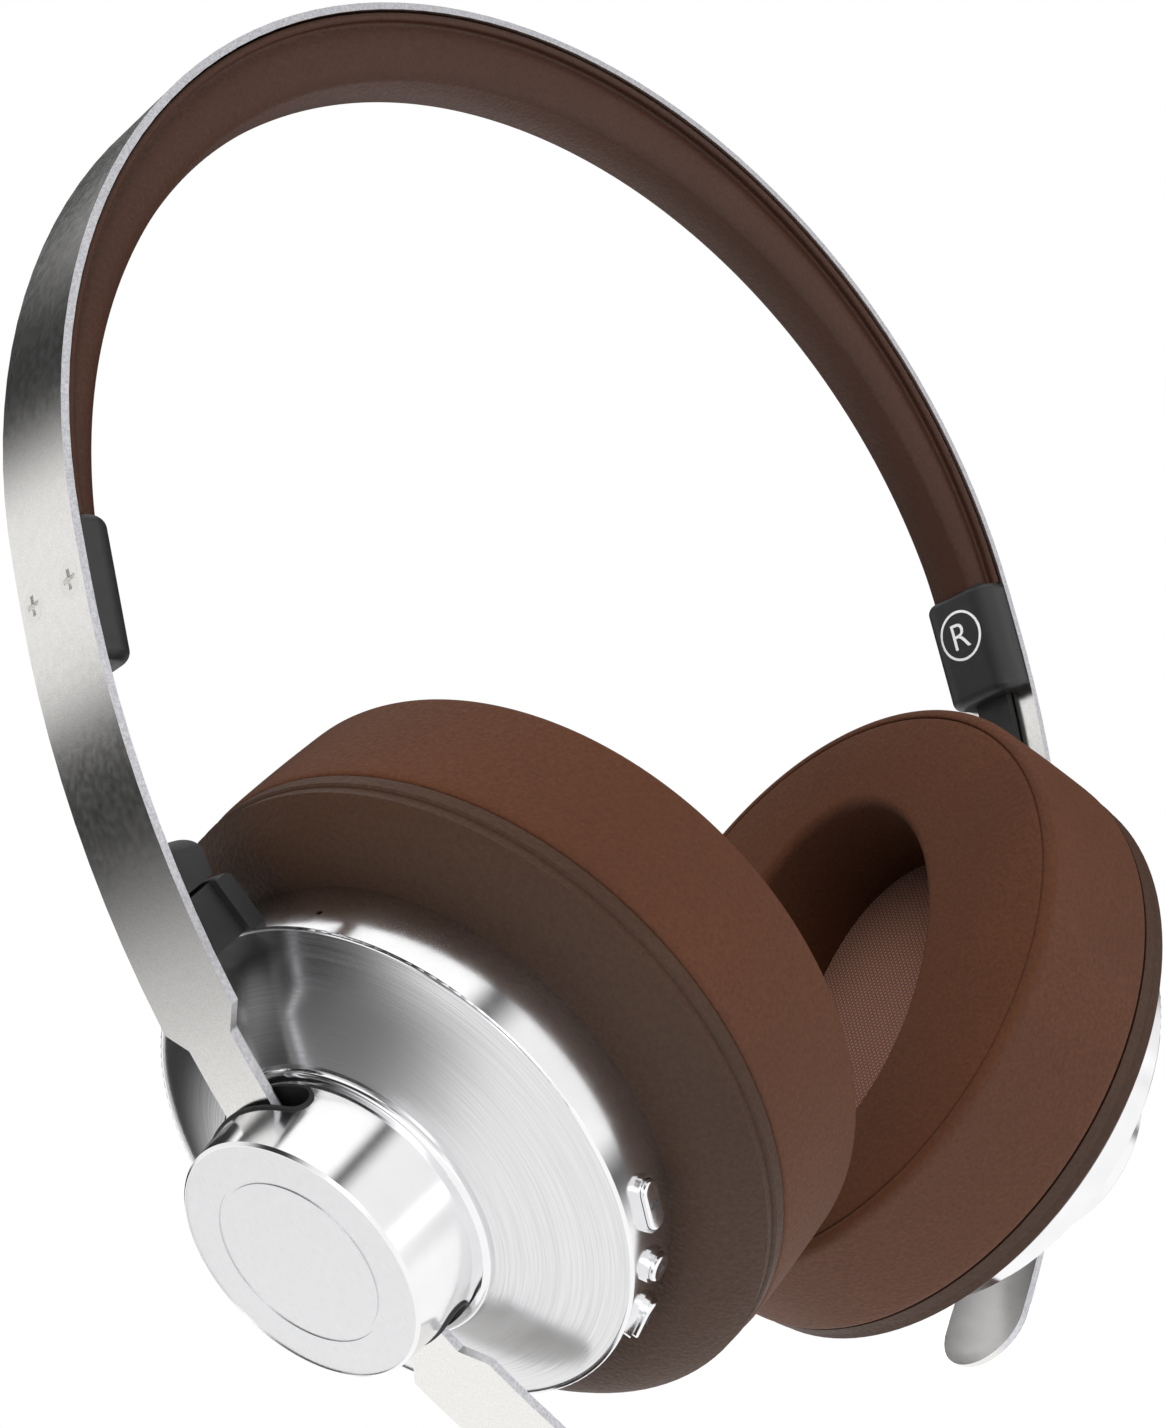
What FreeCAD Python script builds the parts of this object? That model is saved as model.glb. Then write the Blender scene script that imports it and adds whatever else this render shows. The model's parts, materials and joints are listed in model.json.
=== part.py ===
"""Over-ear headphones: a sprung steel headband with two cups that slide along its curled legs.

Frame: origin where the crown of the head meets the headband pad, +Z up, +X to the wearer's right,
+Y to the front of the head.  Millimetres.

Each cup is drawn in its own frame: +X along the cup's axis, away from the head, +Z up along the
strap, origin on the axis in the plane of the chrome rim.  place() then tilts it onto the strap, and
the left side is the mirror of the right.  A length "s" is measured along that axis, "r" from it.
"""
import FreeCAD, Part

import os
from math import asin, cos, degrees, radians, sin

os.makedirs("parts", exist_ok=True)

V = FreeCAD.Vector
X_AXIS = V(1, 0, 0)
Y_AXIS = V(0, 1, 0)
Z_AXIS = V(0, 0, 1)
ORIGIN = V(0, 0, 0)

# --- Headband -------------------------------------------------------------------------------
ARCH_R = 88.2            # outer radius of the arch over the head
STRAP_T = 1.1            # thickness of the steel strap
STRAP_W = 14.4           # width of the steel strap
LEG = 6.4                # straight stretch below the arch
CURL_R = 152.0           # outer radius of each leg's inward curl
PAD_CROWN_T = 9.8        # pad thickness at the top
PAD_END_T = 4.9          # pad thickness beside the end caps
PAD_W = 13.4             # width of the pad
PAD_EDGE_R = 2.6         # rounding of the pad's inner edges

# --- Cup position and strap outline ---------------------------------------------------------
RIM_TOP = 18.27          # top of the chrome rim below the curl's start, degrees round the curl
STRAP_STAND = 11.6       # height of the strap's outer face over the rim plane, on the axis
NECK_W = 8.8             # width of the strap's neck, inside the boss
NECK_BOTTOM = 20.2       # lower end of the neck under the cup's axis
SHOULDER = 2.8           # run of each sloping shoulder
TAB_TIP = 42.0           # tip of the pull tab under the cup's axis

# --- End caps of the pad --------------------------------------------------------------------
CAP_ABOVE = 1.6          # cap's top over the arch's centre
CAP_BELOW = 16.9         # cap's bottom under the arch's centre
CAP_T = 5.3
CAP_W = 14.0
CAP_EDGE_R = 3.6         # rounding of its long inner edges
CAP_END_R = 1.5          # rounding of its top and bottom
CAP_SCREW_RISE = 0.1     # screws' height over the leg's lower end
CAP_SCREW_SPACING = 8.6
SCREW_HEAD_R = 2.1
SCREW_SHANK_R = 0.8
SCREW_HEAD_T = 0.9
SCREW_DEPTH = 4.6
SCREW_CROSS = 0.35       # half width of the cross recess's arms
SCREW_CROSS_L = 1.3      # half length of them
SCREW_CROSS_DEPTH = 0.5

# --- Boss -----------------------------------------------------------------------------------
BOSS_BASE_R = 17.8
BOSS_FACE_R = 16.75
BOSS_BASE_S = 7.2
BOSS_FACE_S = 17.6
BOSS_WALL = 1.5
BOSS_LIP = 0.45          # width of the polished lip round the face disc
BOSS_BEVEL = 0.35
FACE_DISC_T = 1.2
FACE_DISC_SINK = 0.15    # how far the disc lies under the lip
FACE_RING_R = 11.0       # plain engraved ring on the disc
FACE_RING_W = 0.5
FACE_RING_DEPTH = 0.12
BASE_RING_W = 1.4        # how far the base ring stands out round the boss
BASE_RING_T = 1.2
SLOT_SIDE_GAP = 0.6      # from the strap's edge to the end of its opening, cup fully swivelled
SLOT_H = 3.2             # its height
SLOT_LIFT = 0.2          # its middle, over the middle of the strap and tongue at the boss wall
LINER_T = 0.4
LINER_PROUD = 0.25

# --- Cup housing ----------------------------------------------------------------------------
RIM_R = 34.3
RIM_EDGE_R = 0.25
RIM_LIP = 0.45           # width of the bright rim round the plate
WALL_T = 1.4
WALL_DEPTH = 9.0
PLATE_T = 1.0
PLATE_SINK = 0.2         # plate's edge under the rim
PLATE_CROWN = 0.45       # how far the dished plate bulges off a straight cone
LEDGE_W = 1.4
LEDGE_T = 0.8
COLLAR_R = 44.7          # widest radius of the leather-wrapped back
COLLAR_BULGE_S = 3.9     # from the chrome wall to the widest place
COLLAR_BACK = 1.1        # how far the shoulder has fallen at its middle
COLLAR_T = 1.6
BAND_STEP = 0.2          # narrow band between the collar's edge and the cushion's seam
BAND_W = 2.0
BAND_R = 44.9
COLLAR_DEPTH = 7.5       # from the chrome wall's end to the cushion
BAFFLE_T = 1.4
BAFFLE_FIT = 0.1
BAFFLE_VENTS = 12        # vents in each of two circles over the driver
OUTER_VENT_R = 1.4
OUTER_VENT_CIRCLE = 14.0
INNER_VENT_R = 1.2
INNER_VENT_CIRCLE = 8.0
MIDDLE_VENT_R = 3.0

# --- Cushion --------------------------------------------------------------------------------
CUSHION_R = 45.2
CUSHION_DEPTH = 19.6
CUSHION_FRONT_R = 2.0    # rounding of the outer front edge
CUSHION_REAR_R = 0.8
CUSHION_LIP_R = 1.8      # rounding of the ear opening's edge
EAR_HALF_W = 21.8        # ear opening, half size front to back
EAR_HALF_H = 29.7        # ear opening, half size up and down
SCREEN_EDGE = 2.6        # screen's margin outside the ear opening
SCREEN_T = 0.8
SCREEN_STAND = 0.5       # from the baffle to the screen
SCREEN_GAP = 0.2

# --- Driver ---------------------------------------------------------------------------------
DRIVER_R = 20.0
DRIVER_FLANGE_W = 3.0
DRIVER_FLANGE_T = 1.2
BASKET_BACK_R = 13.5
BASKET_DEPTH = 5.2
BASKET_T = 1.0
MAGNET_R = 12.5
MAGNET_T = 4.4
CONE_T = 0.4
CONE_RISE = 2.0
DRIVER_GAP = 0.1

# --- Slider inside the boss -----------------------------------------------------------------
BLOCK_LENGTH = 10.0      # along the strap
BLOCK_HALF_W = 6.5
BLOCK_FLOOR = 3.4        # thickness under the strap
COVER_T = 2.0
SLIDE_FIT = 0.06         # running clearance round the strap's neck
BRAKE_HALF_W = 2.5
BRAKE_T = 1.0
PIVOT_R = 3.0
PIVOT_FIT = 0.05
BUSH_WALL = 1.2
BUSH_LENGTH = 4.0
BUSH_FLANGE_W = 1.5
BUSH_FLANGE_T = 0.8
WASHER_R = 5.2
WASHER_T = 0.6
WASHER_GAP = 0.1
PIVOT_SCREW_HEAD_R = 1.9
PIVOT_SCREW_HEAD_T = 1.3
PIVOT_SCREW_R = 1.0
PIVOT_SCREW_DEPTH = 5.0
COVER_SCREW_R = 0.7
COVER_SCREW_DEPTH = 4.0
COVER_SCREW_HEAD_R = 1.2
COVER_SCREW_HEAD_T = 0.7
TONGUE_GAP = 0.15        # from the strap's inner face to the tongue
TONGUE_T = 0.7
TONGUE_HALF_W = 3.5
SHOE_STOP_GAP = 0.8      # between shoe and end cap with the cup fully up, degrees
SHOE_T = 5.4
SHOE_REACH = 9.0         # its length before its foot is cut round the cup, degrees
SHOE_HALF_W = 5.6
SHOE_EDGE_R = 2.4
LEAD_T = 1.2
LEAD_GAP = 0.35          # from the strap's inner face to the flat lead
LEAD_HALF_W = 3.2
LEAD_CLEAR = 0.25        # room round the lead where it runs into cap and pad
LEAD_KEPT = 0.7          # lead still inside the cap with the cup fully down, degrees
TRAVEL_UP = 7.8          # slide's travel, degrees round the curl
TRAVEL_DOWN = 1.5
STOP_GAP = 0.15          # from the carriage to its stop at each end of the travel, degrees
STOP_BUMP_R = 1.4        # lower stop, a bump pressed out of the strap's inner face
STOP_BUMP_H = 0.6
SWIVEL = 5.0             # cup's swivel on the slider, each way, degrees
GROMMET_T = 7.0          # height of the cup's grommet over the chrome wall
GROMMET_HALF_W = 5.6
GROMMET_FLANGE = 1.3     # how far its flange stands out each side
GROMMET_FLANGE_S = 0.2   # flange's front
GROMMET_BACK_S = -2.2
GROMMET_EDGE_R = 0.8
GROMMET_GAP = 0.5        # between grommet and shoe
GROMMET_CLEAR = 1.3      # between grommet and strap, room for the tongue

# --- Controls on the left cup, sockets in the right -----------------------------------------
BUTTON_S = -4.2          # middle of the row, along the cup's axis
BUTTON_MID_ANGLE = 133.5 # middle button, degrees round the cup's axis from straight up
BUTTON_STEP = 15.5       # degrees between buttons
PILL_L = 6.6
PILL_W = 2.8
ROUND_R = 1.75
BUTTON_PROUD = 1.3
BEZEL_PROUD = 0.6
BEZEL_W = 0.45
BUTTON_FIT = 0.08
BUTTON_DEPTH = 3.3       # button's foot under the chrome wall's outside
BUTTON_FLANGE = 0.6
BUTTON_FLANGE_T = 0.9
BUTTON_EDGE_R = 0.3
BUTTON_TRAVEL = 0.6
SWITCH_GAP = 0.2         # from a pressed button's foot to its switch
SWITCH_R = 1.2
SWITCH_T = 0.6
SWITCH_BOARD_W = 5.2
SWITCH_BOARD_L = 8.4
BOARD_T = 1.0
MIC_ANGLE = 25.0
MIC_S = -3.3
MIC_R = 0.4
JACK_ANGLE = 226.0
JACK_R = 1.8
JACK_WALL = 1.2
JACK_LENGTH = 12.0
USB_ANGLE = 206.0
USB_L = 9.0
USB_W = 3.2
USB_WALL = 0.4
USB_LENGTH = 7.0
USB_FLOOR = 0.8
USB_TONGUE_T = 0.7
USB_TONGUE_W = 6.6
USB_TONGUE_SINK = 1.2    # tongue's end under the socket's mouth
SOCKET_PROUD = 0.1
SOCKET_S = -5.4
BATTERY = (4.4, 22.0, 11.0)   # thickness, width, height
BATTERY_RISE = 21.5
BATTERY_EDGE_R = 1.2
MAIN_BOARD_IN_R = 14.0
MAIN_BOARD_OUT_R = 27.0
MAIN_BOARD_S = -6.4
BAFFLE_SCREW_CIRCLE = 36.0
BAFFLE_SCREW_R = 1.0
BAFFLE_SCREW_HEAD_R = 1.9
BAFFLE_SCREW_HEAD_T = 1.0
BAFFLE_SCREW_DEPTH = 4.0
POST_R = 2.4             # posts in the collar that take the baffle screws

FAR = 100                # reach of the tools that cut right through

# --- Worked out -----------------------------------------------------------------------------
ARCH_Z = -(ARCH_R - STRAP_T - PAD_CROWN_T)
CURL = V(ARCH_R - CURL_R, 0, ARCH_Z - LEG)
RIM_FROM_CURL = CURL_R - STRAP_STAND
STRAP_IN_R = CURL_R - STRAP_T
CUP_TILT = RIM_TOP + degrees(RIM_R / CURL_R)   # angle of the cup's axis below the horizontal
TILT = radians(CUP_TILT)
CUP = V(CURL.x + RIM_FROM_CURL * cos(TILT), 0, CURL.z - RIM_FROM_CURL * sin(TILT))
WALL_END_S = -WALL_DEPTH
CUSHION_S = WALL_END_S - COLLAR_DEPTH
FRONT_S = CUSHION_S - CUSHION_DEPTH
PLATE_TOP_S = BOSS_BASE_S - BASE_RING_T
PIVOT_END_S = PLATE_TOP_S - BUSH_LENGTH - WASHER_GAP
WALL_IN_R = RIM_R - WALL_T
SIDES = ("right", "left")
BLOCK_HALF = degrees(BLOCK_LENGTH / 2 / CURL_R)
NECK_TOP = CURL_R * sin(radians(BLOCK_HALF + TRAVEL_UP + STOP_GAP))
BUMP_ANGLE = (BLOCK_HALF + TRAVEL_DOWN + STOP_GAP) + degrees(STOP_BUMP_R / CURL_R)
CAP_END = degrees(asin((CAP_BELOW - LEG) / CURL_R))
SHOE_TOP = CAP_END + TRAVEL_UP + SHOE_STOP_GAP
LEAD_TOP = CAP_END - TRAVEL_DOWN - LEAD_KEPT
SLOT_HALF_W = (STRAP_W / 2 * cos(radians(SWIVEL)) + BOSS_BASE_R * sin(radians(SWIVEL))
               + SLOT_SIDE_GAP)


# --- Helpers --------------------------------------------------------------------------------
def point(s, r):
    """A point of a profile: s along the axis, r from it."""
    return V(s, 0, r)


def edges(points):
    """Straight edges through the points, closed; a triple (a, mid, b) in the list is an arc."""
    out = []
    last = points[-1][2] if isinstance(points[-1], tuple) else points[-1]
    for item in points:
        start = item[0] if isinstance(item, tuple) else item
        if (last - start).Length > 1e-6:
            out.append(Part.LineSegment(last, start).toShape())
        if isinstance(item, tuple):
            out.append(Part.Arc(*item).toShape())
            start = item[2]
        last = start
    return out


def face(points):
    return Part.Face(Part.Wire(Part.__sortEdges__(edges(points))))


def turned(points):
    """A ring or disc: the profile turned round the cup's axis."""
    return face(points).revolve(ORIGIN, X_AXIS, 360)


def ring(s0, s1, r0, r1):
    if r0 <= 0:
        return Part.makeCylinder(r1, s1 - s0, V(s0, 0, 0), X_AXIS)
    outer = Part.makeCylinder(r1, s1 - s0, V(s0, 0, 0), X_AXIS)
    return outer.cut(Part.makeCylinder(r0, s1 - s0, V(s0, 0, 0), X_AXIS))


def box(x0, x1, y0, y1, z0, z1):
    return Part.makeBox(x1 - x0, y1 - y0, z1 - z0, V(x0, y0, z0))


def pill(length, width, z0, z1, s):
    """A prism along Z with a round-ended outline: long way along Y, centred at s along X."""
    core = box(s - width / 2, s + width / 2, -(length - width) / 2, (length - width) / 2, z0, z1)
    for y in (-(length - width) / 2, (length - width) / 2):
        core = core.fuse(Part.makeCylinder(width / 2, z1 - z0, V(s, y, z0), Z_AXIS))
    return core.removeSplitter()


def round_the_cup(shape, angle):
    """Turns a shape from the top of the cup to the given angle, towards the back of the head."""
    shape = shape.copy()
    shape.rotate(ORIGIN, X_AXIS, angle)
    return shape


def sector(r0, r1, start, end, half_w):
    """A piece of the curl: radii r0 to r1 from its centre, angles in degrees below horizontal."""
    flat = Part.makePlane(r1 - r0, 2 * half_w, V(r0, -half_w, 0), Z_AXIS)
    solid = flat.revolve(ORIGIN, Y_AXIS, end - start)
    solid.rotate(ORIGIN, Y_AXIS, start)
    solid.translate(CURL)
    return solid


def place(shape, side):
    """From the cup's frame to its place on the strap."""
    shape = shape.copy()
    shape.rotate(ORIGIN, Y_AXIS, CUP_TILT)
    shape.translate(CUP)
    return on_side(shape, side)


def on_side(shape, side):
    return shape if side == "right" else shape.mirror(ORIGIN, X_AXIS)


def keep(shape, node):
    """Writes one node, after checking that it is made of closed, valid solids."""
    solids = shape.Solids
    if not solids or not all(s.isValid() and s.isClosed() and s.Volume > 0 for s in solids):
        raise ValueError(node + " is not a closed solid")
    body = solids[0] if len(solids) == 1 else Part.makeCompound(solids)
    body.exportStep("parts/" + node + ".step")


def rounded(shape, radius, chosen):
    """Rounds the edges that chosen(edge) picks."""
    picked = [e for e in shape.Edges if chosen(e)]
    return shape.makeFillet(radius, picked) if picked else shape


# --- Headband -------------------------------------------------------------------------------
def band(d0, d1, top, end):
    """Outline on the right side, between depths d0 and d1 under the strap's outer face, from
    the angle top over the horizontal, down the leg and round the curl to the angle end."""
    def arch(depth, angle):
        a = radians(angle)
        return V((ARCH_R - depth) * cos(a), 0, ARCH_Z + (ARCH_R - depth) * sin(a))

    def curl(depth, angle):
        a = radians(angle)
        return CURL + V((CURL_R - depth) * cos(a), 0, -(CURL_R - depth) * sin(a))

    return Part.Face(Part.Wire([
        Part.Arc(arch(d0, top), arch(d0, top / 2), arch(d0, 0)).toShape(),
        Part.LineSegment(arch(d0, 0), curl(d0, 0)).toShape(),
        Part.Arc(curl(d0, 0), curl(d0, end / 2), curl(d0, end)).toShape(),
        Part.LineSegment(curl(d0, end), curl(d1, end)).toShape(),
        Part.Arc(curl(d1, end), curl(d1, end / 2), curl(d1, 0)).toShape(),
        Part.LineSegment(curl(d1, 0), arch(d1, 0)).toShape(),
        Part.Arc(arch(d1, 0), arch(d1, top / 2), arch(d1, top)).toShape(),
        Part.LineSegment(arch(d1, top), arch(d0, top)).toShape(),
    ]))


def across(flat, width):
    """A face in the XZ plane made into a solid of the given width about Y = 0."""
    solid = flat.extrude(V(0, width, 0))
    solid.translate(V(0, -width / 2, 0))
    return solid


def strap_outline():
    """Front view of the strap's lower end: shoulders, neck and round-ended pull tab."""
    half = STRAP_W / 2
    neck = NECK_W / 2
    far = NECK_TOP + SHOULDER + FAR
    tab = TAB_TIP - half
    p = [V(0, -half, far), V(0, -half, NECK_TOP + SHOULDER), V(0, -neck, NECK_TOP),
         V(0, -neck, -NECK_BOTTOM), V(0, -half, -NECK_BOTTOM - SHOULDER), V(0, -half, -tab)]
    q = [V(0, -v.y, v.z) for v in reversed(p)]
    lines = [Part.LineSegment(a, b).toShape() for a, b in zip(p, p[1:])]
    lines.append(Part.Arc(p[-1], V(0, 0, -TAB_TIP), q[0]).toShape())
    lines += [Part.LineSegment(a, b).toShape() for a, b in zip(q, q[1:])]
    lines.append(Part.LineSegment(q[-1], p[0]).toShape())
    return Part.Face(Part.Wire(lines))


def strap():
    end = CUP_TILT + 20
    half = across(band(0, STRAP_T, 90, end), STRAP_W)
    deep = 2 * STRAP_STAND
    cup_side = strap_outline().extrude(V(2 * deep, 0, 0))
    cup_side.translate(V(-deep, 0, 0))
    top = NECK_TOP + SHOULDER + 1
    blank = box(-deep, deep, -STRAP_W, STRAP_W, -2 * TAB_TIP, top)
    half = half.cut(place(blank.cut(cup_side), "right"))
    for hole in cap_screw_places():
        half = half.cut(screw_hole(hole))
    half = half.fuse(stop_bump())
    whole = half.fuse(half.mirror(ORIGIN, X_AXIS)).removeSplitter()
    keep(whole, "strap")


def stop_bump():
    """Round bump on the strap's inner face, which the carriage meets at its lowest."""
    bump = Part.makeCylinder(STOP_BUMP_R, STRAP_T + STOP_BUMP_H, V(STRAP_IN_R - STOP_BUMP_H, 0, 0),
                             X_AXIS)
    middle = CURL_R - STRAP_T / 2
    bump = bump.common(Part.makeCylinder(middle, STRAP_W, V(0, -STRAP_W / 2, 0), Y_AXIS))
    bump.rotate(ORIGIN, Y_AXIS, CUP_TILT + BUMP_ANGLE)
    bump.translate(CURL)
    return bump


def cap_screw_places():
    z = ARCH_Z - LEG + CAP_SCREW_RISE
    return [V(ARCH_R, y, z) for y in (-CAP_SCREW_SPACING / 2, CAP_SCREW_SPACING / 2)]


def screw_hole(at):
    """Countersunk clearance hole along -X, through the strap."""
    cone = Part.makeCone(SCREW_HEAD_R, SCREW_SHANK_R, SCREW_HEAD_T, at, V(-1, 0, 0))
    shank = Part.makeCylinder(SCREW_SHANK_R, 3 * STRAP_T, at, V(-1, 0, 0))
    over = Part.makeCylinder(SCREW_HEAD_R, 1, at, X_AXIS)
    return cone.fuse(shank).fuse(over)


def cap_screws(side):
    screws = []
    for at in cap_screw_places():
        head = Part.makeCone(SCREW_HEAD_R, SCREW_SHANK_R, SCREW_HEAD_T, at, V(-1, 0, 0))
        body = head.fuse(Part.makeCylinder(SCREW_SHANK_R, SCREW_DEPTH, at, V(-1, 0, 0)))
        for y, z in ((SCREW_CROSS, SCREW_CROSS_L), (SCREW_CROSS_L, SCREW_CROSS)):
            body = body.cut(box(at.x - SCREW_CROSS_DEPTH, at.x + 1,
                                at.y - y, at.y + y, at.z - z, at.z + z))
        screws.append(body)
    keep(on_side(Part.makeCompound(screws), side), "cap_screws_" + side)


def lead_way():
    """Room for the flat lead behind the strap, through the cap and up into the pad."""
    low = STRAP_IN_R - LEAD_GAP - LEAD_T - LEAD_CLEAR
    return sector(low, STRAP_IN_R + 1, LEAD_TOP - TRAVEL_UP - 1, 12, LEAD_HALF_W + LEAD_CLEAR)


def pad():
    """Crowned cushion under the arch: thickest over the head, thinner at the end caps."""
    inner = ARCH_R - STRAP_T
    near = inner - PAD_CROWN_T
    side = inner - PAD_END_T
    total = side * side / near
    radius = (near + total) / 2
    centre_z = ARCH_Z - (total - near) / 2
    low = ARCH_Z + CAP_ABOVE
    outer_disc = Part.makeCylinder(inner, PAD_W, V(0, -PAD_W / 2, ARCH_Z), Y_AXIS)
    inner_disc = Part.makeCylinder(radius, PAD_W, V(0, -PAD_W / 2, centre_z), Y_AXIS)
    solid = outer_disc.cut(inner_disc)
    solid = solid.common(box(-FAR, FAR, -PAD_W, PAD_W, low, low + 2 * FAR))
    solid = rounded(solid, PAD_EDGE_R, lambda e: is_arc(e, radius))
    for side_name in SIDES:
        solid = solid.cut(on_side(lead_way(), side_name))
    keep(solid, "headband_pad")


def is_arc(edge, radius):
    return isinstance(edge.Curve, Part.Circle) and abs(edge.Curve.Radius - radius) < 1e-3


def end_cap(side):
    inner_x = ARCH_R - STRAP_T - CAP_T
    half = CAP_W / 2
    low = ARCH_Z - CAP_BELOW
    top = ARCH_Z + CAP_ABOVE
    block = box(inner_x, ARCH_R, -half, half, low, top)
    block = rounded(block, CAP_EDGE_R,
                    lambda e: e.BoundBox.XMax < inner_x + 0.1 and e.BoundBox.YLength < 0.1)
    block = rounded(block, CAP_END_R,
                    lambda e: (e.BoundBox.ZMin > top - 0.1 or e.BoundBox.ZMax < low + 0.1)
                    and e.BoundBox.XMin < ARCH_R - 0.1)
    solid = block.common(across(band(STRAP_T, 3 * CAP_T, 10, 10), STRAP_W))
    solid = solid.cut(lead_way())
    for at in cap_screw_places():
        solid = solid.cut(Part.makeCylinder(SCREW_SHANK_R, 2 * SCREW_DEPTH, at, V(-1, 0, 0))
                          .common(box(at.x - SCREW_DEPTH - 1, at.x, -half, half, low, top)))
    keep(on_side(solid, side), "end_cap_" + side)


# --- Slider ---------------------------------------------------------------------------------
def block_angles():
    return CUP_TILT - BLOCK_HALF, CUP_TILT + BLOCK_HALF


def guide_block(side):
    """Carriage under the strap, with cheeks beside the neck and the cup's pivot pin below."""
    start, end = block_angles()
    floor = STRAP_IN_R - SLIDE_FIT
    roof = CURL_R + SLIDE_FIT
    solid = sector(floor - BLOCK_FLOOR, roof, start, end, BLOCK_HALF_W)
    solid = solid.cut(sector(floor, roof + 1, start - 1, end + 1, NECK_W / 2 + SLIDE_FIT))
    solid = on_cup(solid)
    foot_s = floor - BLOCK_FLOOR - RIM_FROM_CURL
    pin = ring(PIVOT_END_S, foot_s + 1, 0, PIVOT_R)
    solid = solid.fuse(pin)
    solid = solid.cut(ring(PIVOT_END_S, PIVOT_END_S + PIVOT_SCREW_DEPTH, 0, PIVOT_SCREW_R))
    for at in cover_screw_places():
        solid = solid.cut(Part.makeCylinder(COVER_SCREW_R, COVER_SCREW_DEPTH, at, V(-1, 0, 0)))
    keep(place(solid.removeSplitter(), side), "guide_block_" + side)


def on_cup(shape):
    """From the headband's frame to the right cup's own frame."""
    shape = shape.copy()
    shape.translate(CUP * -1)
    shape.rotate(ORIGIN, Y_AXIS, -CUP_TILT)
    return shape


def cover_screw_places():
    s = CURL_R + SLIDE_FIT + COVER_T - COVER_SCREW_HEAD_T - RIM_FROM_CURL
    y = (NECK_W / 2 + SLIDE_FIT + BLOCK_HALF_W) / 2
    z = BLOCK_LENGTH / 2 - 2
    return [V(s, a * y, b * z) for a in (-1, 1) for b in (-1, 1)]


def guide_cover(side):
    start, end = block_angles()
    roof = CURL_R + SLIDE_FIT
    solid = on_cup(sector(roof, roof + COVER_T, start, end, BLOCK_HALF_W))
    solid = solid.cut(on_cup(sector(roof - 1, roof + BRAKE_T, start - 1, end + 1, BRAKE_HALF_W)))
    for at in cover_screw_places():
        solid = solid.cut(Part.makeCylinder(COVER_SCREW_R, 9, at - V(4, 0, 0), X_AXIS))
        solid = solid.cut(Part.makeCylinder(COVER_SCREW_HEAD_R, 9, at, X_AXIS))
    keep(place(solid, side), "guide_cover_" + side)


def brake_pad(side):
    """Nylon strip in the cover that rubs on the strap and holds the cup where it is put."""
    start, end = block_angles()
    solid = sector(CURL_R + SLIDE_FIT / 2, CURL_R + SLIDE_FIT + BRAKE_T, start, end, BRAKE_HALF_W)
    keep(on_side(solid, side), "brake_pad_" + side)


def tongue(side):
    """Thin steel link behind the strap, from the carriage out of the boss to the shoe."""
    start, _ = block_angles()
    top = STRAP_IN_R - TONGUE_GAP
    solid = sector(top - TONGUE_T, top, SHOE_TOP + 2, start, TONGUE_HALF_W)
    keep(on_side(solid, side), "slider_tongue_" + side)


def shoe_blank():
    """The shoe's outside; its foot follows a circle round the cup's axis, to let the cup swivel."""
    top = STRAP_IN_R - TONGUE_GAP
    blank = on_cup(sector(top - SHOE_T, top, SHOE_TOP, SHOE_TOP + SHOE_REACH, SHOE_HALF_W))
    return blank.cut(ring(-FAR, FAR, 0, RIM_R + GROMMET_T + GROMMET_GAP))


def shoe(side):
    solid = shoe_blank()
    high = max(v.Z for v in solid.Vertexes)
    solid = rounded(solid, SHOE_EDGE_R, lambda e: e.BoundBox.ZMin > high - 3.2)
    solid = place(solid, "right")
    top = STRAP_IN_R - TONGUE_GAP
    solid = solid.cut(sector(top - TONGUE_T, top + 1, SHOE_TOP + 2, 30, TONGUE_HALF_W))
    lead = STRAP_IN_R - LEAD_GAP
    solid = solid.cut(sector(lead - LEAD_T, lead, 0, SHOE_TOP + 2, LEAD_HALF_W))
    keep(on_side(solid, side), "slider_shoe_" + side)


def flat_lead(side):
    """Flat lead between shoe and headband; it runs up into the end cap as the cup slides."""
    lead = STRAP_IN_R - LEAD_GAP
    solid = sector(lead - LEAD_T, lead, LEAD_TOP, SHOE_TOP + 2, LEAD_HALF_W)
    keep(on_side(solid, side), "flat_lead_" + side)


# --- Boss -----------------------------------------------------------------------------------
def slot_middle():
    """Height of the middle of the strap's opening, where the strap crosses the boss wall."""
    sag = BOSS_BASE_R ** 2 / 2 / CURL_R
    stack = STRAP_T + TONGUE_GAP + TONGUE_T
    return STRAP_STAND - sag - stack / 2 + SLOT_LIFT


def slot_prism(margin):
    """The strap's way through the boss, along Z, with round ends."""
    length = 2 * (SLOT_HALF_W + margin)
    return pill(length, SLOT_H + 2 * margin, -FAR, FAR, slot_middle())


def boss_outline(grow):
    """The boss as a solid, its wall moved out by grow."""
    return turned([point(BOSS_BASE_S, 0), point(BOSS_BASE_S, BOSS_BASE_R + grow),
                   point(BOSS_FACE_S, BOSS_FACE_R + grow), point(BOSS_FACE_S, 0)])


def boss_shell(side):
    disc_s = BOSS_FACE_S - FACE_DISC_SINK - FACE_DISC_T
    ledge = 1.5
    lip_r = BOSS_FACE_R - BOSS_LIP
    solid = turned([
        point(BOSS_BASE_S, BOSS_BASE_R - BOSS_WALL),
        point(BOSS_BASE_S, BOSS_BASE_R),
        point(BOSS_FACE_S - BOSS_BEVEL, BOSS_FACE_R),
        point(BOSS_FACE_S, BOSS_FACE_R - BOSS_BEVEL),
        point(BOSS_FACE_S, lip_r),
        point(disc_s, lip_r),
        point(disc_s, lip_r - ledge),
        point(disc_s - 1, lip_r - ledge),
        point(disc_s - 1, BOSS_FACE_R - BOSS_WALL),
    ])
    solid = solid.cut(slot_prism(LINER_T))
    keep(place(solid, side), "boss_shell_" + side)


def slot_liners(side):
    """Black linings of the two openings, one over and one under the boss."""
    tube = slot_prism(LINER_T).cut(slot_prism(0))
    liners = tube.common(boss_outline(LINER_PROUD)).cut(ring(-9, 30, 0, BOSS_FACE_R - BOSS_WALL))
    keep(place(liners, side), "slot_liners_" + side)


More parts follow.
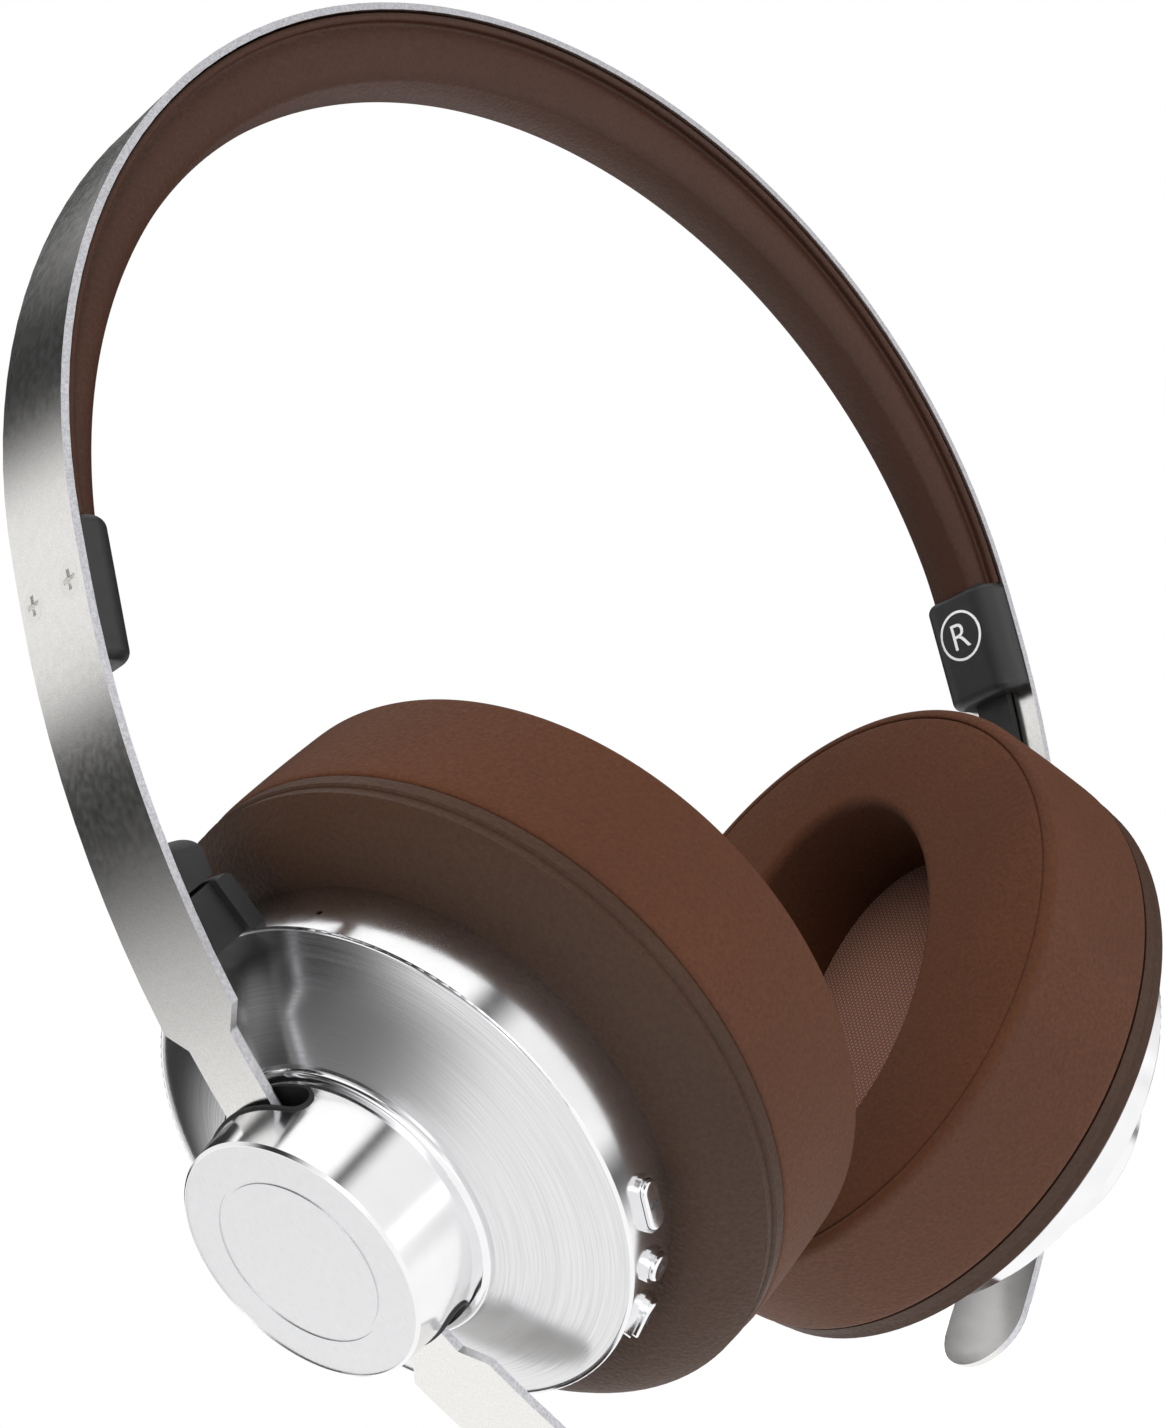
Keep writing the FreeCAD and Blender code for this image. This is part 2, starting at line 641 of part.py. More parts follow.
def face_disc(side):
    top = BOSS_FACE_S - FACE_DISC_SINK
    radius = BOSS_FACE_R - BOSS_LIP
    solid = ring(top - FACE_DISC_T, top, 0, radius)
    groove = ring(top - FACE_RING_DEPTH, top + 1, FACE_RING_R, FACE_RING_R + FACE_RING_W)
    keep(place(solid.cut(groove), side), "face_disc_" + side)


def base_ring(side):
    out = BOSS_BASE_R + BASE_RING_W
    solid = ring(PLATE_TOP_S, BOSS_BASE_S, BOSS_BASE_R - BOSS_WALL, out)
    top = BOSS_BASE_S - 0.1
    solid = rounded(solid, BASE_RING_T * 0.6, lambda e: is_arc(e, out) and e.BoundBox.XMin > top)
    keep(place(solid, side), "base_ring_" + side)


# --- Housing --------------------------------------------------------------------------------
def bush_outer_r():
    return PIVOT_R + PIVOT_FIT + BUSH_WALL


def back_plate(side):
    """Dished plate: flat under the boss, then a shallow cone down to the rim."""
    edge_r = RIM_R - RIM_LIP
    flat_r = BOSS_BASE_R + BASE_RING_W + 0.3
    mid_s = (PLATE_TOP_S - PLATE_SINK) / 2 + PLATE_CROWN
    mid_r = (edge_r + flat_r) / 2
    solid = turned([
        point(PLATE_TOP_S, bush_outer_r()),
        (point(PLATE_TOP_S, flat_r), point(mid_s, mid_r), point(-PLATE_SINK, edge_r)),
        (point(-PLATE_SINK - PLATE_T, edge_r), point(mid_s - PLATE_T, mid_r),
         point(PLATE_TOP_S - PLATE_T, flat_r)),
        point(PLATE_TOP_S - PLATE_T, bush_outer_r()),
    ])
    keep(place(solid, side), "back_plate_" + side)


def housing_wall(side):
    edge_r = RIM_R - RIM_LIP
    shelf_s = -PLATE_SINK - PLATE_T
    solid = turned([
        point(WALL_END_S, WALL_IN_R),
        point(WALL_END_S, RIM_R),
        (point(-RIM_EDGE_R, RIM_R),
         point(-RIM_EDGE_R * 0.293, RIM_R - RIM_EDGE_R * 0.293),
         point(0, RIM_R - RIM_EDGE_R)),
        point(0, edge_r),
        point(shelf_s, edge_r),
        point(shelf_s, edge_r - LEDGE_W),
        point(shelf_s - LEDGE_T, edge_r - LEDGE_W),
        point(shelf_s - LEDGE_T, WALL_IN_R),
    ])
    if side == "left":
        for name, angle in button_angles():
            rim = button_prism(name, BEZEL_W, WALL_IN_R - 0.3, RIM_R + BEZEL_PROUD)
            solid = solid.fuse(round_the_cup(rim.cut(ring(-30, 9, 0, WALL_IN_R)), angle))
            hole = button_prism(name, BUTTON_FIT, WALL_IN_R - 3, RIM_R + 5)
            solid = solid.cut(round_the_cup(hole, angle))
            room = button_prism(name, BUTTON_FLANGE + BUTTON_FIT, WALL_IN_R - 5, flange_room())
            solid = solid.cut(round_the_cup(room, angle))
        mic = Part.makeCylinder(MIC_R, 9, V(MIC_S, 0, WALL_IN_R - 3), Z_AXIS)
        solid = solid.cut(round_the_cup(mic, MIC_ANGLE))
    else:
        solid = solid.cut(round_the_cup(jack_outside(), JACK_ANGLE))
        solid = solid.cut(round_the_cup(usb_outside(), USB_ANGLE))
    keep(place(solid.removeSplitter(), side), "housing_wall_" + side)


def grommet(side):
    """Black grommet on the chrome wall, flanged at the back, where the lead enters the cup."""
    top = RIM_R + GROMMET_T
    wide = GROMMET_HALF_W + GROMMET_FLANGE
    front = box(GROMMET_FLANGE_S - 0.1, top, -GROMMET_HALF_W, GROMMET_HALF_W, 0, 2 * top)
    solid = front.fuse(box(GROMMET_BACK_S, GROMMET_FLANGE_S, -wide, wide, 0, 2 * top))
    solid = solid.common(ring(GROMMET_BACK_S, top, RIM_R, top))
    room = STRAP_IN_R - GROMMET_CLEAR
    solid = solid.common(on_cup(sector(RIM_R, room, 0, 2 * CUP_TILT, 2 * wide)))
    back = GROMMET_BACK_S + 0.1
    solid = rounded(solid, GROMMET_EDGE_R, lambda e: e.BoundBox.XMax < back and is_arc(e, top))
    keep(place(solid, side), "lead_grommet_" + side)


def collar_profile(inset):
    """Outer line of the leather-wrapped back, moved in by inset."""
    bulge = point(WALL_END_S - COLLAR_BULGE_S, COLLAR_R - inset)
    start = point(WALL_END_S - inset, RIM_R + inset)
    mid = point(WALL_END_S - COLLAR_BACK - inset, (RIM_R + 2 * COLLAR_R) / 3 - 0.8 * inset)
    return start, mid, bulge


def collar(side):
    outer = collar_profile(0)
    inner = collar_profile(COLLAR_T)
    band_s = CUSHION_S + BAND_W
    solid = turned([
        point(WALL_END_S, WALL_IN_R),
        outer,
        point(band_s + 0.15, COLLAR_R - BAND_STEP),
        point(band_s, BAND_R - BAND_STEP),
        point(band_s - 0.3, BAND_R),
        point(CUSHION_S, BAND_R),
        point(CUSHION_S, BAND_R - COLLAR_T),
        (inner[2], inner[1], inner[0]),
        point(WALL_END_S - COLLAR_T, WALL_IN_R),
    ])
    for at in baffle_screw_places():
        post = Part.makeCylinder(POST_R, 6, at, X_AXIS)
        post = post.common(ring(CUSHION_S, WALL_END_S - COLLAR_T + 0.3, 0, COLLAR_R))
        solid = solid.fuse(post)
    for at in baffle_screw_places():
        solid = solid.cut(Part.makeCylinder(BAFFLE_SCREW_R, BAFFLE_SCREW_DEPTH, at, X_AXIS))
    keep(place(solid.removeSplitter(), side), "collar_" + side)


def baffle_screw_places():
    places = []
    for k in range(4):
        a = radians(45 + 90 * k)
        places.append(V(CUSHION_S + BAFFLE_T, BAFFLE_SCREW_CIRCLE * cos(a),
                        BAFFLE_SCREW_CIRCLE * sin(a)))
    return places


def baffle(side):
    """Plate that carries the driver and closes the cup behind the cushion."""
    radius = min(BAND_R, COLLAR_R) - COLLAR_T - BAFFLE_FIT
    solid = ring(CUSHION_S, CUSHION_S + BAFFLE_T, 0, radius)
    for k in range(BAFFLE_VENTS):
        start = V(CUSHION_S - 1, 0, 0)
        outer = Part.makeCylinder(OUTER_VENT_R, 9, start + Z_AXIS * OUTER_VENT_CIRCLE, X_AXIS)
        solid = solid.cut(round_the_cup(outer, k * 360 / BAFFLE_VENTS))
        inner = Part.makeCylinder(INNER_VENT_R, 9, start + Z_AXIS * INNER_VENT_CIRCLE, X_AXIS)
        solid = solid.cut(round_the_cup(inner, (k + 0.5) * 360 / BAFFLE_VENTS))
    solid = solid.cut(ring(CUSHION_S - 1, CUSHION_S + 9, 0, MIDDLE_VENT_R))
    for at in baffle_screw_places():
        solid = solid.cut(Part.makeCylinder(BAFFLE_SCREW_R + 0.1, 9, at - V(5, 0, 0), X_AXIS))
        low = at - V(BAFFLE_T, 0, 0)
        sink = Part.makeCylinder(BAFFLE_SCREW_HEAD_R + 0.1, BAFFLE_SCREW_HEAD_T, low, X_AXIS)
        solid = solid.cut(sink)
    keep(place(solid, side), "baffle_" + side)


def baffle_screws(side):
    screws = []
    for at in baffle_screw_places():
        low = at - V(BAFFLE_T, 0, 0)
        head = Part.makeCylinder(BAFFLE_SCREW_HEAD_R, BAFFLE_SCREW_HEAD_T, low, X_AXIS)
        length = BAFFLE_SCREW_DEPTH + BAFFLE_T
        screws.append(head.fuse(Part.makeCylinder(BAFFLE_SCREW_R, length, low, X_AXIS)))
    keep(place(Part.makeCompound(screws), side), "baffle_screws_" + side)


# --- Pivot between slider and cup -----------------------------------------------------------
def pivot_bush(side):
    top = PLATE_TOP_S
    inner = PIVOT_R + PIVOT_FIT
    solid = ring(top - BUSH_LENGTH, top, inner, bush_outer_r())
    low = top - PLATE_T - BUSH_FLANGE_T
    flange = ring(low, top - PLATE_T, inner, bush_outer_r() + BUSH_FLANGE_W)
    keep(place(solid.fuse(flange).removeSplitter(), side), "pivot_bush_" + side)


def pivot_screw(side):
    """Screw and washer that hold the cup on the carriage's pin."""
    head_s = PIVOT_END_S - WASHER_T - PIVOT_SCREW_HEAD_T
    shank = ring(PIVOT_END_S - WASHER_T, PIVOT_END_S + PIVOT_SCREW_DEPTH, 0, PIVOT_SCREW_R)
    head = ring(head_s, PIVOT_END_S - WASHER_T, 0, PIVOT_SCREW_HEAD_R)
    washer = ring(PIVOT_END_S - WASHER_T, PIVOT_END_S, 0, WASHER_R)
    keep(place(shank.fuse(head).fuse(washer).removeSplitter(), side), "pivot_screw_" + side)


# --- Driver ---------------------------------------------------------------------------------
def driver_frame(side):
    s = CUSHION_S + BAFFLE_T
    out = DRIVER_R + DRIVER_FLANGE_W
    back = s + BASKET_DEPTH
    solid = turned([
        point(s, DRIVER_R), point(s, out), point(s + DRIVER_FLANGE_T, out),
        point(s + DRIVER_FLANGE_T, DRIVER_R + BASKET_T), point(back, BASKET_BACK_R + BASKET_T),
        point(back, MAGNET_R - 4), point(back - BASKET_T, MAGNET_R - 4),
        point(back - BASKET_T, BASKET_BACK_R), point(s + DRIVER_FLANGE_T, DRIVER_R),
    ])
    keep(place(solid, side), "driver_frame_" + side)


def magnet(side):
    s = CUSHION_S + BAFFLE_T + BASKET_DEPTH
    keep(place(ring(s, s + MAGNET_T, 0, MAGNET_R), side), "driver_magnet_" + side)


def diaphragm(side):
    s = CUSHION_S + BAFFLE_T + 0.3
    rim = DRIVER_R - DRIVER_GAP
    fold = rim * 0.6
    solid = turned([
        point(s, 0), point(s, fold), point(s + CONE_RISE, fold), point(s + 0.2, rim),
        point(s + 0.2 + CONE_T, rim), point(s + CONE_RISE + CONE_T, fold - CONE_T),
        point(s + CONE_T, fold - CONE_T), point(s + CONE_T, 0),
    ])
    keep(place(solid, side), "diaphragm_" + side)


# --- Ear cushion ----------------------------------------------------------------------------
def oval(half_w, half_h, s0, s1):
    """An oval prism along the cup's axis, taller than it is wide."""
    curve = Part.Ellipse(ORIGIN, half_h, half_w)
    flat = Part.Face(Part.Wire(curve.toShape()))
    flat.rotate(ORIGIN, Y_AXIS, -90)
    flat.translate(V(s0, 0, 0))
    return flat.extrude(V(s1 - s0, 0, 0))


def cushion(side):
    solid = ring(FRONT_S, CUSHION_S, 0, CUSHION_R)
    hole = oval(EAR_HALF_W, EAR_HALF_H, FRONT_S - 1, CUSHION_S + 1)
    solid = solid.cut(hole)
    front = FRONT_S + 0.1
    solid = rounded(solid, CUSHION_LIP_R,
                    lambda e: e.BoundBox.XMax < front and not is_arc(e, CUSHION_R)
                    and e.Length > 50)
    solid = rounded(solid, CUSHION_FRONT_R,
                    lambda e: e.BoundBox.XMax < front and is_arc(e, CUSHION_R))
    solid = rounded(solid, CUSHION_REAR_R,
                    lambda e: e.BoundBox.XMin > CUSHION_S - 0.1 and is_arc(e, CUSHION_R))
    edge = SCREEN_EDGE + SCREEN_GAP
    recess = oval(EAR_HALF_W + edge, EAR_HALF_H + edge,
                  CUSHION_S - SCREEN_STAND - SCREEN_T - SCREEN_GAP, CUSHION_S + 1)
    keep(place(solid.cut(recess), side), "ear_cushion_" + side)


def screen(side):
    """Woven screen over the driver, seen through the ear opening."""
    top = CUSHION_S - SCREEN_STAND
    solid = oval(EAR_HALF_W + SCREEN_EDGE, EAR_HALF_H + SCREEN_EDGE, top - SCREEN_T, top)
    keep(place(solid, side), "ear_screen_" + side)


# --- Controls and sockets -------------------------------------------------------------------
def button_angles():
    return [("volume_up", BUTTON_MID_ANGLE - BUTTON_STEP),
            ("play", BUTTON_MID_ANGLE),
            ("volume_down", BUTTON_MID_ANGLE + BUTTON_STEP)]


def button_prism(name, grow, z0, z1):
    """A button's outline, grown all round, between two heights over the cup's axis."""
    if name == "play":
        return Part.makeCylinder(ROUND_R + grow, z1 - z0, V(BUTTON_S, 0, z0), Z_AXIS)
    return pill(PILL_L + 2 * grow, PILL_W + 2 * grow, z0, z1, BUTTON_S)


def flange_room():
    """Top of the space that the buttons' flanges have under the wall."""
    return RIM_R - BUTTON_DEPTH + BUTTON_FLANGE_T + 0.1


def buttons():
    foot = RIM_R - BUTTON_DEPTH
    for name, angle in button_angles():
        cap = button_prism(name, 0, foot, RIM_R + BUTTON_PROUD)
        top = RIM_R + BUTTON_PROUD - 0.01
        cap = rounded(cap, BUTTON_EDGE_R, lambda e: e.BoundBox.ZMin > top)
        flange = button_prism(name, BUTTON_FLANGE, foot, foot + BUTTON_FLANGE_T)
        solid = round_the_cup(cap.fuse(flange).removeSplitter(), angle)
        keep(place(solid, "left"), "button_" + name)


def switch_board():
    """Three small switches on a bent board behind the buttons."""
    top = RIM_R - BUTTON_DEPTH - BUTTON_TRAVEL - SWITCH_GAP
    board = None
    for name, angle in button_angles():
        plate = box(BUTTON_S - SWITCH_BOARD_W / 2, BUTTON_S + SWITCH_BOARD_W / 2,
                    -SWITCH_BOARD_L / 2, SWITCH_BOARD_L / 2,
                    top - BOARD_T - SWITCH_T, top - SWITCH_T)
        dome = Part.makeCylinder(SWITCH_R, SWITCH_T, V(BUTTON_S, 0, top - SWITCH_T), Z_AXIS)
        piece = round_the_cup(plate.fuse(dome), angle)
        board = piece if board is None else board.fuse(piece)
    keep(place(board.removeSplitter(), "left"), "switch_board")


def main_board():
    solid = ring(MAIN_BOARD_S, MAIN_BOARD_S + BOARD_T, MAIN_BOARD_IN_R, MAIN_BOARD_OUT_R)
    keep(place(solid, "left"), "main_board")


def battery():
    thick, wide, high = BATTERY
    solid = box(MAIN_BOARD_S, MAIN_BOARD_S + thick, -wide / 2, wide / 2,
                BATTERY_RISE - high / 2, BATTERY_RISE + high / 2)
    solid = rounded(solid, BATTERY_EDGE_R, lambda e: True)
    keep(place(solid, "right"), "battery")


def jack_outside():
    low = RIM_R + SOCKET_PROUD - JACK_LENGTH
    return Part.makeCylinder(JACK_R + JACK_WALL, JACK_LENGTH, V(SOCKET_S, 0, low), Z_AXIS)


def jack_socket():
    bore = Part.makeCylinder(JACK_R, FAR, V(SOCKET_S, 0, 0), Z_AXIS)
    keep(place(round_the_cup(jack_outside().cut(bore), JACK_ANGLE), "right"), "jack_socket")


def usb_outside():
    top = RIM_R + SOCKET_PROUD
    grow = 2 * USB_WALL
    return pill(USB_L + grow, USB_W + grow, top - USB_LENGTH, top, SOCKET_S)


def usb_socket():
    top = RIM_R + SOCKET_PROUD
    low = top - USB_LENGTH
    solid = usb_outside().cut(pill(USB_L, USB_W, low + USB_FLOOR, top + 1, SOCKET_S))
    leaf = box(SOCKET_S - USB_TONGUE_T / 2, SOCKET_S + USB_TONGUE_T / 2,
               -USB_TONGUE_W / 2, USB_TONGUE_W / 2, low + USB_FLOOR / 2, top - USB_TONGUE_SINK)
    keep(place(round_the_cup(solid.fuse(leaf), USB_ANGLE), "right"), "usb_socket")


# --- Build ----------------------------------------------------------------------------------
strap()
pad()
for side in SIDES:
    cap_screws(side)
    end_cap(side)
    guide_block(side)
    guide_cover(side)
    brake_pad(side)
    tongue(side)
    shoe(side)
    flat_lead(side)
    boss_shell(side)
    slot_liners(side)
    face_disc(side)
    base_ring(side)
    back_plate(side)
    housing_wall(side)
    grommet(side)
    collar(side)
    baffle(side)
    baffle_screws(side)
    pivot_bush(side)
    pivot_screw(side)
    driver_frame(side)
    magnet(side)
    diaphragm(side)
    cushion(side)
    screen(side)
buttons()
switch_board()
main_board()
battery()
jack_socket()
usb_socket()
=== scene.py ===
"""Looks of the over-ear headphones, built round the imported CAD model. Metres, in the CAD's own frame.

Each cup is worked out in its own frame: s along the cup's axis away from the head, y to the front,
h up along the strap, origin on the axis in the plane of the chrome rim. SIDES gives its mirror sign.
"""

import json
from math import atan2, cos, pi, radians, sin, sqrt

import bmesh
import bpy
from mathutils import Matrix, Vector


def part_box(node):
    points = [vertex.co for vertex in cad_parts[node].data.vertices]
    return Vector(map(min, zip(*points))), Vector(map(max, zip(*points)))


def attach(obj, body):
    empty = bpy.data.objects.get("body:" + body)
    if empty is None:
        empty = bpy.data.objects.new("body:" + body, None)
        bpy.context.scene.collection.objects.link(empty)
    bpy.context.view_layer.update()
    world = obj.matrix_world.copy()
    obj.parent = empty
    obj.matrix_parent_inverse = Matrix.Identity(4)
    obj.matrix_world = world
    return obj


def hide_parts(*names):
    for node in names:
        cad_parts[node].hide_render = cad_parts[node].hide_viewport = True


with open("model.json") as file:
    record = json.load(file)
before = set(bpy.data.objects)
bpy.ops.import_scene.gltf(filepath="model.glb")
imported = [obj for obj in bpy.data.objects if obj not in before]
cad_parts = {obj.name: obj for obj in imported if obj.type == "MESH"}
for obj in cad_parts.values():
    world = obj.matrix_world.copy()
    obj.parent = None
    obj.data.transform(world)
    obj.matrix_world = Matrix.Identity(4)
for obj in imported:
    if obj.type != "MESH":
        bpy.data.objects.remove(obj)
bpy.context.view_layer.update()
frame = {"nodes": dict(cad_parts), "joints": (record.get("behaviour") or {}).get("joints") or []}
NODES = frame["nodes"]
MM = 0.001
SIDES = {"right": 1.0, "left": -1.0}

# --- Places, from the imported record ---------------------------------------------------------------
JOINTS = {j["name"]: j for j in frame["joints"]}
CUP = Vector(JOINTS["cup_swivel_right"]["pos_m"])
AXIS = Vector(JOINTS["cup_swivel_right"]["axis"]).normalized()
if AXIS.x < 0:
    AXIS = -AXIS
UP = Vector((-AXIS.z, 0, AXIS.x))
FRONT_WAY = Vector((0, 1, 0))


def cup_point(side, s, y, h):
    """A point of a cup's frame, millimetres, as a place in metres."""
    p = CUP + (AXIS * s + FRONT_WAY * y + UP * h) * MM
    return Vector((p.x * SIDES[side], p.y, p.z))


# --- Node helpers ---------------------------------------------------------------------------------
class Graph:
    """A procedural material. Numbers that are the same all over go straight on the shader."""

    def __init__(self, name, color=(0.5, 0.5, 0.5), **shader):
        self.mat = bpy.data.materials.new(name)
        self.mat.use_nodes = True
        self.tree = self.mat.node_tree
        self.bsdf = self.tree.nodes["Principled BSDF"]
        self.bsdf.inputs["Base Color"].default_value = (*color, 1)
        self.mat.diffuse_color = (*color, 1)
        for key, value in shader.items():
            socket = self.bsdf.inputs[key.replace("_", " ")]
            socket.default_value = (*value, 1) if isinstance(value, tuple) else value

    def node(self, kind, inputs, out=0, **props):
        made = self.tree.nodes.new(kind)
        for key, value in props.items():
            setattr(made, key, value)
        for key, value in inputs.items():
            self.put(made.inputs[key], value)
        return made.outputs[out]

    def put(self, socket, value):
        if isinstance(value, bpy.types.NodeSocket):
            self.tree.links.new(value, socket)
        else:
            socket.default_value = value

    def to(self, name, value):
        self.put(self.bsdf.inputs[name], value)

    def math(self, operation, a, b=0.0, clamp=False):
        return self.node("ShaderNodeMath", {0: a, 1: b}, operation=operation, use_clamp=clamp)

    def vec(self, operation, a, b=(0, 0, 0), out=0):
        return self.node("ShaderNodeVectorMath", {0: a, 1: b}, out=out, operation=operation)

    def dot(self, a, b):
        return self.vec("DOT_PRODUCT", a, b, out=1)

    def join(self, x, y, z):
        return self.node("ShaderNodeCombineXYZ", {0: x, 1: y, 2: z})

    def split(self, vector):
        made = self.tree.nodes.new("ShaderNodeSeparateXYZ")
        self.tree.links.new(vector, made.inputs[0])
        return made.outputs

    def coords(self, out="Object"):
        return self.node("ShaderNodeTexCoord", {}, out=out)

    def noise(self, vector, scale, detail=2.0, rough=0.5):
        return self.node("ShaderNodeTexNoise",
                         {"Vector": vector, "Scale": scale, "Detail": detail, "Roughness": rough})

    def cells(self, vector, scale, feature="F1", smooth=None, out="Distance"):
        inputs = {"Vector": vector, "Scale": scale}
        if smooth is not None:
            inputs["Smoothness"] = smooth
        return self.node("ShaderNodeTexVoronoi", inputs, out=out, feature=feature)

    def range(self, value, a, b, c, d):
        return self.node("ShaderNodeMapRange", {0: value, 1: a, 2: b, 3: c, 4: d})

    def mix(self, factor, a, b, blend="MIX"):
        made = self.tree.nodes.new("ShaderNodeMix")
        made.data_type = "RGBA"
        made.blend_type = blend
        self.put(made.inputs[0], factor)
        for index, value in ((6, a), (7, b)):
            self.put(made.inputs[index], (*value, 1) if isinstance(value, tuple) else value)
        return made.outputs[2]

    def bump(self, height, distance, strength=1.0, normal=None):
        inputs = {"Height": height, "Distance": distance, "Strength": strength}
        if normal is not None:
            inputs["Normal"] = normal
        return self.node("ShaderNodeBump", inputs)

    def mirrored(self):
        """Object coordinates with the left side folded onto the right."""
        x, y, z = self.split(self.coords())
        return self.join(self.math("ABSOLUTE", x), y, z)

    def cup(self):
        """(y, h, s) in the cup's frame, metres, the same for both sides."""
        rel = self.vec("SUBTRACT", self.mirrored(), tuple(CUP))
        y = self.dot(rel, tuple(FRONT_WAY))
        return y, self.dot(rel, tuple(UP)), self.dot(rel, tuple(AXIS))

    def around(self):
        """(distance from the cup's axis, unit vector out from it in the cup's frame)."""
        y, h, _ = self.cup()
        flat = self.join(y, h, 0.0)
        return self.vec("LENGTH", flat, out=1), self.vec("NORMALIZE", flat)

    def round_tangent(self):
        """Direction round the cup's axis, for brushed turning marks."""
        x, y, z = self.split(self.coords())
        sign = self.math("SIGN", x)
        rel = self.vec("SUBTRACT", self.mirrored(), tuple(CUP))
        turn = self.vec("CROSS_PRODUCT", tuple(AXIS), rel)
        tx, ty, tz = self.split(turn)
        return self.vec("NORMALIZE", self.join(self.math("MULTIPLY", tx, sign), ty, tz))


# --- Materials ------------------------------------------------------------------------------------
def leather(name, warm, dark, grain=1.0, rough=0.46):
    """Smooth waxed leather: cloudy dye, fine pebbling, and a soft wide highlight."""
    g = Graph(name, warm, Metallic=0.0, Specular_IOR_Level=0.24)
    at = g.coords()
    cloudy = g.noise(at, 38.0, 3.0, 0.55)
    speck = g.noise(at, 1700.0, 3.0, 0.65)
    pebble = g.cells(at, 1500.0, "SMOOTH_F1", 0.35)
    fine = g.noise(at, 4200.0, 2.0, 0.6)
    color = g.mix(g.range(cloudy, 0.3, 0.7, 0.0, 0.4), warm, dark)
    color = g.mix(g.range(speck, 0.4, 0.7, 0.0, 0.6), color, dark)
    g.to("Base Color", color)
    g.to("Roughness", g.range(speck, 0.3, 0.7, rough - 0.08, rough + 0.08))
    height = g.math("ADD", g.math("MULTIPLY", pebble, 0.9), g.math("MULTIPLY", fine, 0.35))
    soft = g.bump(g.noise(at, 260.0, 2.0, 0.5), 0.00006)
    g.to("Normal", g.bump(height, 0.00008 * grain, 0.9, soft))
    return g.mat


def plastic(name, color, rough=0.45, grain=0.00002):
    g = Graph(name, color, Metallic=0.0, Specular_IOR_Level=0.45)
    at = g.coords()
    spark = g.noise(at, 5200.0, 2.0, 0.6)
    g.to("Base Color", g.mix(g.range(g.noise(at, 90.0), 0.3, 0.7, 0.0, 0.3), color,
                             tuple(c * 1.5 for c in color)))
    g.to("Roughness", g.range(g.noise(at, 600.0, 3.0), 0.3, 0.7, rough - 0.06, rough + 0.08))
    g.to("Normal", g.bump(spark, grain, 0.7))
    return g.mat


def metal(name, color, rough, spread=0.03, scratch=0.000004, **shader):
    g = Graph(name, color, Metallic=1.0, **shader)
    at = g.coords()
    g.to("Base Color", g.mix(g.range(g.noise(at, 120.0, 3.0), 0.3, 0.7, 0.0, 1.0), color,
                             tuple(c * 0.94 for c in color)))
    g.to("Roughness", g.range(g.noise(at, 420.0, 4.0, 0.6), 0.3, 0.7, rough - spread,
                              rough + spread))
    g.to("Normal", g.bump(g.noise(at, 2600.0, 3.0), scratch, 0.6))
    return g.mat


def strap_steel():
    """Satin steel with a fine sparkle, its thin edges blasted to a coarser speckle."""
    g = Graph("band_steel", (0.8, 0.79, 0.77), Metallic=1.0)
    at = g.coords()
    edge = g.range(g.math("ABSOLUTE", g.dot(g.coords("Normal"), (0, 1, 0))), 0.55, 0.8, 0.0, 1.0)
    speckle = g.noise(at, 2600.0, 3.0, 0.7)
    sparkle = g.noise(at, 4200.0, 2.0, 0.6)
    face = g.mix(g.range(sparkle, 0.3, 0.7, 0.0, 1.0), (0.82, 0.81, 0.79), (0.72, 0.71, 0.69))
    rim = g.mix(g.range(speckle, 0.35, 0.65, 0.0, 1.0), (0.55, 0.55, 0.58), (0.78, 0.78, 0.81))
    g.to("Base Color", g.mix(edge, face, rim))
    smooth = g.range(g.noise(at, 900.0, 3.0), 0.3, 0.7, 0.17, 0.23)
    g.to("Roughness", g.math("ADD", smooth, g.math("MULTIPLY", edge, 0.3)))
    depth = g.math("ADD", g.math("MULTIPLY", speckle, edge), g.math("MULTIPLY", sparkle, 0.12))
    g.to("Normal", g.bump(depth, 0.00003, 0.7))
    return g.mat


def turned_steel(name, color, rough):
    """Steel with fine turning marks round the cup's axis."""
    g = Graph(name, color, Metallic=1.0, Anisotropic=0.6)
    r, out_way = g.around()
    ox, oy, _ = g.split(out_way)
    wide = g.noise(g.join(g.math("MULTIPLY", r, 3800.0), ox, oy), 1.0, 3.0, 0.7)
    fine = g.noise(g.join(g.math("MULTIPLY", r, 11000.0), g.math("MULTIPLY", ox, 3.0),
                          g.math("MULTIPLY", oy, 3.0)), 1.0, 2.0, 0.6)
    marks = g.math("ADD", g.math("MULTIPLY", wide, 0.6), g.math("MULTIPLY", fine, 0.4))
    g.to("Base Color", g.mix(g.range(marks, 0.35, 0.65, 0.0, 1.0), color,
                             tuple(c * 0.84 for c in color)))
    g.to("Roughness", g.range(marks, 0.3, 0.7, rough - 0.05, rough + 0.07))
    g.to("Normal", g.bump(marks, 0.000012, 0.8))
    g.to("Tangent", g.round_tangent())
    return g.mat


def satin_face():
    """The boss's end disc: pale, very fine upright grain, with a soft sheen."""
    g = Graph("face_satin", (0.72, 0.72, 0.73), Metallic=1.0)
    y, h, _ = g.cup()
    grain = g.noise(g.join(g.math("MULTIPLY", y, 9000.0), g.math("MULTIPLY", h, 700.0), 0.0),
                    1.0, 3.0, 0.65)
    g.to("Base Color", g.mix(g.range(grain, 0.3, 0.7, 0.0, 1.0), (0.8, 0.8, 0.81),
                             (0.73, 0.73, 0.74)))
    g.to("Roughness", g.range(grain, 0.3, 0.7, 0.3, 0.4))
    g.to("Normal", g.bump(grain, 0.000008, 0.7))
    return g.mat


